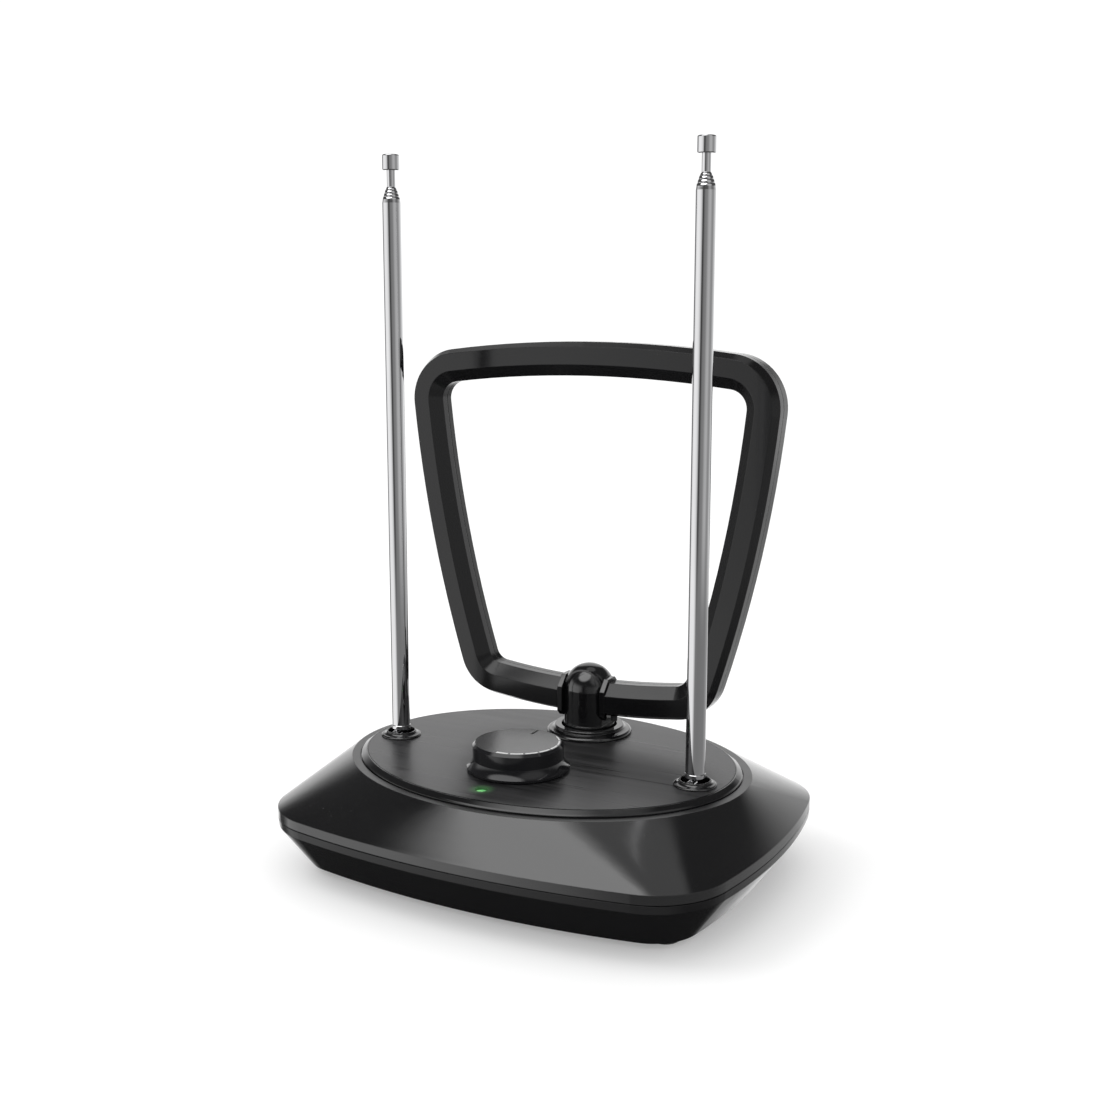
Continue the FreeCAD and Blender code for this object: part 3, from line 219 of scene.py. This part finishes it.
def start(name, colour=(0.5, 0.5, 0.5), rough=0.5, metal=0.0):
    material = bpy.data.materials.new(name)
    material.use_nodes = True
    material.diffuse_color = (*colour, 1)
    sheet = Sheet(material.node_tree)
    shader = material.node_tree.nodes["Principled BSDF"]
    shader.inputs["Base Color"].default_value = (*colour, 1)
    shader.inputs["Roughness"].default_value = rough
    shader.inputs["Metallic"].default_value = metal
    return material, sheet, shader


def use(sheet, tree, **values):
    node = sheet.add("ShaderNodeGroup")
    node.node_tree = tree
    for label, value in values.items():
        sheet.feed(node, label.replace("_", " "), value)
    return node.outputs


def bump(sheet, shader, height, distance, strength=1.0, edge=0.0):
    """Fine relief; edge is the radius to which sharp corners look rounded."""
    node = sheet.add("ShaderNodeBump")
    if edge:
        corner = sheet.add("ShaderNodeBevel", samples=4)
        corner.inputs["Radius"].default_value = edge
        sheet.join(corner.outputs[0], node.inputs["Normal"])
    sheet.feed(node, "Height", height)
    sheet.feed(node, "Distance", distance)
    sheet.feed(node, "Strength", strength)
    sheet.join(node.outputs[0], shader.inputs["Normal"])


DUST_COLOUR = (0.3, 0.3, 0.3)
SATIN_EXTRA = 0.26          # roughness that a satin face has over a glossy one
EDGE_ROUND = 0.35 * MM      # radius to which the moulded corners look rounded


def gloss_black(name, rough=0.09, smudge=0.05, dust=0.25, satin_above=None, shine=1.0):
    """Moulded black plastic; faces higher than satin_above are satin."""
    material, s, shader = start(name, BLACK, rough)
    shader.inputs["Specular IOR Level"].default_value = shine
    skin = use(s, MOULDED, Base_Rough=rough, Smudge=smudge, Dust=dust)
    roughness = skin["Roughness"]
    if satin_above is not None:
        height = s.parts_of(s.place())["Z"]
        satin = s.span(height, satin_above - 0.03 * MM, satin_above)
        roughness = s.math("ADD", roughness, s.math("MULTIPLY", satin, SATIN_EXTRA))
    s.join(roughness, shader.inputs["Roughness"])
    s.join(s.mix(skin["Dust Mask"], BLACK, DUST_COLOUR), shader.inputs["Base Color"])
    bump(s, shader, skin["Height"], 0.03 * MM, edge=EDGE_ROUND)
    return material


GLOW_FULL, GLOW_GONE = 2.2 * MM, 6.5 * MM      # distances from the light


def brushed_deck():
    """Dark brushed plate; the power light glows on it around its hole."""
    material, s, shader = start("brushed_deck", (0.03, 0.03, 0.032), 0.32, 0.55)
    lines = use(s, BRUSHED, Along_X=14.0, Along_Y=820.0, Along_Z=300.0)
    colour = s.mix(lines["Tone"], (0.006, 0.006, 0.0065), (0.072, 0.072, 0.074))
    s.join(colour, shader.inputs["Base Color"])
    s.join(lines["Roughness"], shader.inputs["Roughness"])
    bump(s, shader, lines["Height"], 0.02 * MM, 0.6)
    away = s.add("ShaderNodeVectorMath", operation="DISTANCE")
    s.join(s.place(), away.inputs[0])
    away.inputs[1].default_value = (LIGHT.x, LIGHT.y, DECK_TOP)
    glow = s.span(away.outputs["Value"], GLOW_FULL, GLOW_GONE, 1.0, 0.0, smooth=True)
    glow = s.math("POWER", glow, 2.0)
    s.join(s.mix(glow, (0.0, 0.0, 0.0), (0.022, 0.075, 0.022)), shader.inputs["Emission Color"])
    shader.inputs["Emission Strength"].default_value = 1.0
    return material


TURNED_WAVES = 21000.0      # radians per metre of the fine turning on the knob's top


def knob_finish():
    """Gloss sides and a satin, finely turned top."""
    material, s, shader = start("knob_gloss_and_satin", (0.014, 0.014, 0.015), 0.12)
    here = s.place()
    top = s.span(s.parts_of(here)["Z"], KNOB.z - 0.06 * MM, KNOB.z - 0.03 * MM)
    spot = s.add("ShaderNodeVectorMath", operation="SUBTRACT")
    s.join(here, spot.inputs[0])
    spot.inputs[1].default_value = (KNOB.x, KNOB.y, 0)
    away = s.add("ShaderNodeVectorMath", operation="LENGTH")
    flat = s.add("ShaderNodeVectorMath", operation="MULTIPLY")
    s.join(spot.outputs[0], flat.inputs[0])
    flat.inputs[1].default_value = (1, 1, 0)
    s.join(flat.outputs[0], away.inputs[0])
    rings = s.math("SINE", s.math("MULTIPLY", away.outputs["Value"], TURNED_WAVES))
    skin = use(s, MOULDED, Base_Rough=0.1, Smudge=0.05, Dust=0.12)
    satin = s.math("ADD", 0.2, s.math("MULTIPLY", skin["Roughness"], 0.3))
    rough = s.math("ADD", s.math("MULTIPLY", top, satin),
                   s.math("MULTIPLY", s.math("SUBTRACT", 1.0, top), skin["Roughness"]))
    s.join(rough, shader.inputs["Roughness"])
    s.join(s.mix(top, (0.008, 0.008, 0.009), (0.05, 0.05, 0.051)), shader.inputs["Base Color"])
    turned = s.math("MULTIPLY", s.math("MULTIPLY", rings, top), 0.1)
    bump(s, shader, s.math("ADD", turned, s.math("MULTIPLY", skin["Height"], 0.6)), 0.012 * MM)
    return material


def plated(name, light, dark, polish=0.04, haze=0.06, lines=0.5):
    material, s, shader = start(name, light, polish, 1.0)
    skin = use(s, PLATED, Polish=polish, Haze=haze)
    s.join(skin["Roughness"], shader.inputs["Roughness"])
    s.join(s.mix(skin["Tint"], dark, light), shader.inputs["Base Color"])
    bump(s, shader, skin["Height"], 0.004 * MM, lines)
    return material


def grained(name, low, high, grain=1800.0, rough=(0.4, 0.6), depth=0.02, metal=0.0):
    material, s, shader = start(name, high, rough[0], metal)
    skin = use(s, GRAIN, Grain=grain, Rough_Low=rough[0], Rough_High=rough[1])
    s.join(skin["Roughness"], shader.inputs["Roughness"])
    s.join(s.mix(skin["Tone"], low, high), shader.inputs["Base Color"])
    bump(s, shader, skin["Height"], depth * MM)
    return material


def board_finish():
    """Solder mask over copper tracks, with bare pads."""
    material, s, shader = start("board_mask", (0.02, 0.16, 0.06), 0.35)
    here = s.place()
    cells = s.add("ShaderNodeTexVoronoi", distance="CHEBYCHEV")
    s.join(here, cells.inputs["Vector"])
    cells.inputs["Scale"].default_value = 260.0
    tracks = s.span(cells.outputs["Distance"], 0.3, 0.34)
    pads = s.span(cells.outputs["Distance"], 0.1, 0.12, 1.0, 0.0)
    green = s.mix(tracks, (0.03, 0.2, 0.08), (0.015, 0.11, 0.045))
    s.join(s.mix(pads, green, (0.75, 0.72, 0.66)), shader.inputs["Base Color"])
    s.join(s.span(s.noise(here, 900.0), 0.3, 0.7, 0.28, 0.42), shader.inputs["Roughness"])
    bump(s, shader, tracks, 0.03 * MM)
    return material


def lit_lens():
    """Green light: a bright middle behind a shaded rear edge."""
    material, s, shader = start("lit_green_lens", (0.12, 0.5, 0.16), 0.25)
    across = s.parts_of(s.place())["Y"]
    shade = s.span(across, LIGHT.y + 0.2 * MM, LIGHT.y + 1.5 * MM, 1.0, 0.12, smooth=True)
    cloud = s.span(s.noise(s.place(), 900.0), 0.3, 0.7, 0.85, 1.0)
    s.join(s.mix(s.math("MULTIPLY", shade, cloud), (0.02, 0.09, 0.02), (0.5, 0.95, 0.42)),
           shader.inputs["Emission Color"])
    shader.inputs["Emission Strength"].default_value = 0.36
    return material


finishes = {
    "gloss_black": gloss_black("gloss_black_case"),
    "satin_black": grained("satin_black_plastic", (0.012, 0.012, 0.013), (0.03, 0.03, 0.032)),
    "brushed_plate": brushed_deck(),
    "knob_grey": knob_finish(),
    "chrome": plated("bright_chrome", (0.7, 0.7, 0.71), (0.65, 0.65, 0.66), 0.015, 0.03, 0.15),
    "feet_rubber": grained("foot_rubber", (0.012, 0.012, 0.012), (0.035, 0.035, 0.035),
                           900.0, (0.6, 0.85), 0.05),
    "steel": plated("zinc_plated_steel", (0.62, 0.62, 0.6), (0.5, 0.5, 0.5), 0.24, 0.14),
    "brass": plated("stamped_brass", (0.78, 0.6, 0.3), (0.62, 0.46, 0.22), 0.2, 0.15),
    "conductor": plated("rolled_strip", (0.86, 0.86, 0.87), (0.74, 0.74, 0.76), 0.26, 0.12),
    "board_green": board_finish(),
    "ferrite": grained("sintered_ferrite", (0.03, 0.03, 0.033), (0.09, 0.09, 0.095),
                       2400.0, (0.5, 0.7), 0.05, 0.3),
    "ballast_steel": grained("oiled_steel", (0.1, 0.1, 0.105), (0.22, 0.22, 0.225),
                             700.0, (0.35, 0.55), 0.03, 0.9),
    "green_light": lit_lens(),
    "cable_jacket": grained("soft_jacket", (0.014, 0.014, 0.014), (0.03, 0.03, 0.03), 1500.0, (0.45, 0.6)),
}
special = {
    "upper_shell": gloss_black("gloss_case_with_satin_ledge", 0.1, 0.05, 0.3, satin_above=LEDGE, shine=0.95),
    "deck_bezel": gloss_black("gloss_rim", 0.07, 0.03, 0.15, shine=0.7),
    "loop_front_shell": gloss_black("gloss_loop_front", 0.14, 0.05, 0.12, shine=0.5),
    "loop_rear_shell": gloss_black("gloss_loop_rear", 0.12, 0.05, 0.12, shine=0.5),
    "lower_shell": gloss_black("gloss_case_bottom", 0.16, 0.06, 0.15, shine=0.5),
}
for row in frame["record"]["subparts"]:
    piece = nodes[row["node"]]
    piece.data.materials.clear()
    piece.data.materials.append(special.get(row["node"], finishes[row["material_slot"]]))


# ---- detail pieces -----------------------------------------------------------------------
def make_piece(name, mesh_data, body, material):
    mesh = bpy.data.meshes.new(name)
    mesh_data.normal_update()
    mesh_data.to_mesh(mesh)
    mesh_data.free()
    piece = bpy.data.objects.new(name, mesh)
    bpy.context.scene.collection.objects.link(piece)
    mesh.materials.append(material)
    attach(piece, body)


def arc_patch(bm, centre, inner, outer, start, end, low, high, steps=14):
    """A thin solid bent along an arc; inner and outer are radii at its two ends."""
    rings = []
    for k in range(steps + 1):
        share = k / steps
        a = math.radians(start + (end - start) * share)
        r0 = inner[0] + (inner[1] - inner[0]) * share
        r1 = outer[0] + (outer[1] - outer[0]) * share
        rings.append([bm.verts.new((centre.x + r * math.cos(a), centre.y + r * math.sin(a), z))
                      for r, z in ((r0, low), (r1, low), (r1, high), (r0, high))])
    for a, b in zip(rings, rings[1:]):
        for k in range(4):
            bm.faces.new((a[k], a[(k + 1) % 4], b[(k + 1) % 4], b[k]))
    bm.faces.new(list(reversed(rings[0])))
    bm.faces.new(rings[-1])
    bmesh.ops.recalc_face_normals(bm, faces=bm.faces)


def printed_white():
    material, s, shader = start("printed_white", (0.62, 0.62, 0.62), 0.4)
    grain = s.span(s.noise(s.place(), 2500.0), 0.3, 0.7)
    s.join(s.mix(grain, (0.5, 0.5, 0.5), (0.72, 0.72, 0.72)), shader.inputs["Base Color"])
    s.join(s.span(s.noise(s.place(), 700.0), 0.3, 0.7, 0.3, 0.5), shader.inputs["Roughness"])
    return material


def level_marks():
    """Printed wedge of dashes round the knob's front edge."""
    first, pitch, gap, count = -92.3, 20.9, 3.2, 7
    rim, wide, thin = 15.35 * MM, 1.25 * MM, 0.4 * MM
    bm = bmesh.new()
    for k in range(count):
        begin = first + k * pitch
        w0 = wide + (thin - wide) * k / count
        w1 = wide + (thin - wide) * (k + 0.85) / count
        arc_patch(bm, KNOB, (rim - w0, rim - w1), (rim, rim), begin, begin + pitch - gap,
                  KNOB.z - 0.02 * MM, KNOB.z + 0.015 * MM)
    make_piece("knob_level_marks", bm, "knob", printed_white())


def pointer_shade_strip():
    """Near-black strip laid over the knob's pointer groove and its edges: painted shade in the groove."""
    bm = bmesh.new()
    half, low, high = 0.45 * MM, KNOB.z - 0.1 * MM, KNOB.z + 0.012 * MM
    near, far = KNOB.y + 9.9 * MM, KNOB.y + 15.2 * MM
    corners = [(KNOB.x + sx * half, y, z) for z in (low, high) for sx, y in
               ((-1, near), (1, near), (1, far), (-1, far))]
    v = [bm.verts.new(c) for c in corners]
    for f in ((3, 2, 1, 0), (4, 5, 6, 7), (0, 1, 5, 4), (1, 2, 6, 5), (2, 3, 7, 6), (3, 0, 4, 7)):
        bm.faces.new([v[k] for k in f])
    bmesh.ops.bevel(bm, geom=bm.edges, offset=0.03 * MM, segments=1, affect="EDGES")
    # near-black strip: painted shade over the pointer groove
    make_piece("knob_pointer_shade_strip", bm, "knob",
               grained("pointer_groove_shade_black", (0.002, 0.002, 0.002), (0.006, 0.006, 0.006), 1500.0, (0.6, 0.8)))


TUBE_RADII = [3.5 * MM, 3.1 * MM, 2.7 * MM, 2.3 * MM, 1.65 * MM]      # outermost tube first, thin rod last
SLOPE_SIDE = 2                                                        # side of a nose ring that slopes


def nose_rings(side, spot):
    """Polished slopes on the mouths of the tubes; pushed in, they make one stepped nose."""
    play, rim, lip, rise, turns = 0.04 * MM, 0.15 * MM, 0.02 * MM, 1.15 * MM, 48
    bodies = [side + "_rod"] + [side + "_section_%d" % k for k in (2, 3, 4)]
    for k, body in enumerate(bodies):
        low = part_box("%s_rod_section_%d" % (side, k + 1))[1].z
        inner, outer = TUBE_RADII[k + 1] + play, TUBE_RADII[k] - rim
        profile = [(inner, low), (outer, low), (outer, low + lip),
                   (inner + lip, low + rise), (inner, low + rise)]
        sides = len(profile)
        bm = bmesh.new()
        rings = []
        for t in range(turns):
            a = 2 * math.pi * t / turns
            rings.append([bm.verts.new((spot.x + r * math.cos(a), spot.y + r * math.sin(a), z))
                          for r, z in profile])
        for a, b in zip(rings, rings[1:] + rings[:1]):
            for i in range(sides):
                face = bm.faces.new((a[i], b[i], b[(i + 1) % sides], a[(i + 1) % sides]))
                face.smooth = i == SLOPE_SIDE
        bmesh.ops.recalc_face_normals(bm, faces=bm.faces)
        make_piece("%s_nose_ring_%d" % (side, k + 1), bm, body, finishes["chrome"])


level_marks()
pointer_shade_strip()
for rod_side, rod_spot in ROD_SPOTS.items():
    nose_rings(rod_side, rod_spot)

# ---- studio ------------------------------------------------------------------------------
scene = bpy.context.scene
scene.view_settings.view_transform = "Standard"

CAMERA_SPOT = Vector((0.24346, -0.44890, 0.20839))
CAMERA_DOWN, CAMERA_TURN = 9.83, 28.31
FLOOR_R = 0.62


def studio_floor():
    bm = bmesh.new()
    bmesh.ops.create_circle(bm, cap_ends=True, segments=128, radius=FLOOR_R)
    mesh = bpy.data.meshes.new("studio_floor")
    bm.to_mesh(mesh)
    bm.free()
    floor = bpy.data.objects.new("studio_floor", mesh)
    scene.collection.objects.link(floor)
    material, s, shader = start("pale_floor", (0.75, 0.75, 0.75), 0.7)
    paint = s.mix(s.noise(s.place(), 3.0), (0.72, 0.72, 0.72), (0.75, 0.75, 0.75))
    s.join(paint, shader.inputs["Base Color"])
    shader.inputs["Emission Color"].default_value = (1, 1, 1, 1)
    shader.inputs["Emission Strength"].default_value = 0.27
    mesh.materials.append(material)
    floor.visible_glossy = False


# Level of the studio all round the table, as (turn in degrees, level): turn 0 is towards +X, 90 the back.
WALL = [(-180, 0.5), (-174, 1.0), (-157, 1.16), (-140, 1.15), (-118, 0.98), (-103, 0.5), (-96, 0.1),
        (-91, 0.02), (-86, 0.1), (-70, 0.26), (-48, 0.3), (-30, 0.52), (-12, 0.58), (4, 0.42), (18, 0.32),
        (35, 0.5), (55, 0.8), (85, 1.1), (100, 1.3), (145, 1.3), (156, 0.5), (163, 0.13), (172, 0.18),
        (180, 0.5)]
LOW_WALL = [(-180, 0.5), (-173, 1.15), (-118, 1.15), (-104, 0.75), (-92, 0.26), (-60, 0.24), (20, 0.27),
            (50, 0.42), (80, 0.6), (100, 1.2), (148, 1.2), (158, 0.12), (172, 0.15), (180, 0.5)]
# Soft panels, each as the way to its middle and the angles at which it starts to fade and is gone.
KEY_BOX, KEY_EDGE = (-0.18, -0.38, 0.91), (20.0, 31.0)
BACK_BOX, BACK_EDGE = (-0.05, 0.29, 0.95), (11.5, 15.5)
FAR_BOX, FAR_EDGE = (-0.37, 0.79, 0.5), (13.0, 24.0)
SIDE_BOX, SIDE_EDGE = (0.66, -0.24, 0.7), (12.0, 34.0)
TABLE_GLOW, TABLE_EDGE = (0.1, -0.85, -0.5), (25.0, 60.0)


def studio_world():
    """White room; shiny surfaces see dark flags and soft panels around the table."""
    world = bpy.data.worlds.new("studio")
    scene.world = world
    world.use_nodes = True
    s = Sheet(world.node_tree)
    back = world.node_tree.nodes["Background"]
    way = s.add("ShaderNodeTexCoord").outputs["Generated"]
    x, y, z = s.parts_of(way)[:3]
    turn = s.span(s.math("ARCTAN2", y, x), -math.pi, math.pi)

    def ring(stops):
        """Levels that change with the turn round the table."""
        node = s.add("ShaderNodeValToRGB")
        ramp = node.color_ramp
        for angle, _ in stops[1:-1]:
            ramp.elements.new((angle + 180) / 360)
        for element, (angle, level) in zip(ramp.elements, stops):
            element.position = (angle + 180) / 360
            element.color = (level, level, level, 1)
        s.join(turn, node.inputs[0])
        return node.outputs[0]

    def panel(towards, edge, level):
        """Soft round panel: full inside the first angle, gone outside the second."""
        dot = s.add("ShaderNodeVectorMath", operation="DOT_PRODUCT")
        s.join(way, dot.inputs[0])
        dot.inputs[1].default_value = Vector(towards).normalized()
        inner, outer = (math.cos(math.radians(angle)) for angle in edge)
        return s.span(dot.outputs["Value"], outer, inner, 0.0, level, smooth=True)

    def height(angle):
        """Height on a unit sphere of a direction this many degrees above level."""
        return math.sin(math.radians(angle))

    walls = s.mix(s.span(z, height(-14), height(-8), smooth=True), ring(LOW_WALL), ring(WALL))
    table = s.math("ADD", panel(TABLE_GLOW, TABLE_EDGE, 0.3), 0.03)
    walls = s.mix(s.span(z, height(-44), height(-22), smooth=True), table, walls)
    boxes = s.math("ADD", panel(KEY_BOX, KEY_EDGE, 2.3), panel(BACK_BOX, BACK_EDGE, 0.45))
    boxes = s.math("ADD", boxes, panel(SIDE_BOX, SIDE_EDGE, 0.5))
    roof = s.math("ADD", s.math("ADD", boxes, panel(FAR_BOX, FAR_EDGE, 1.0)), 0.08)
    seen = s.mix(s.span(z, height(8), height(26), smooth=True), walls, roof)
    ray = s.add("ShaderNodeLightPath")
    room = s.mix(ray.outputs["Is Glossy Ray"], (1.08, 1.08, 1.08), seen)
    s.join(room, back.inputs["Color"])
    back.inputs["Strength"].default_value = 1.0


def softbox(name, spot, aim, size, power):
    data = bpy.data.lights.new(name, "AREA")
    data.shape = "RECTANGLE"
    data.size, data.size_y = size
    data.energy = power
    lamp = bpy.data.objects.new(name, data)
    lamp.visible_glossy = False
    scene.collection.objects.link(lamp)
    lamp.location = spot
    lamp.rotation_euler = (Vector(aim) - Vector(spot)).to_track_quat("-Z", "Y").to_euler()


def studio_camera():
    data = bpy.data.cameras.new("camera")
    data.lens = 46.0
    data.sensor_width = 36.0
    camera = bpy.data.objects.new("camera", data)
    scene.collection.objects.link(camera)
    camera.location = CAMERA_SPOT
    camera.rotation_euler = (math.radians(90 - CAMERA_DOWN), 0, math.radians(CAMERA_TURN))
    scene.camera = camera


studio_floor()
studio_world()
softbox("left_softbox", (-0.9, -0.3, 1.1), (0, 0, 0.03), (0.7, 0.7), 5.0)
studio_camera()
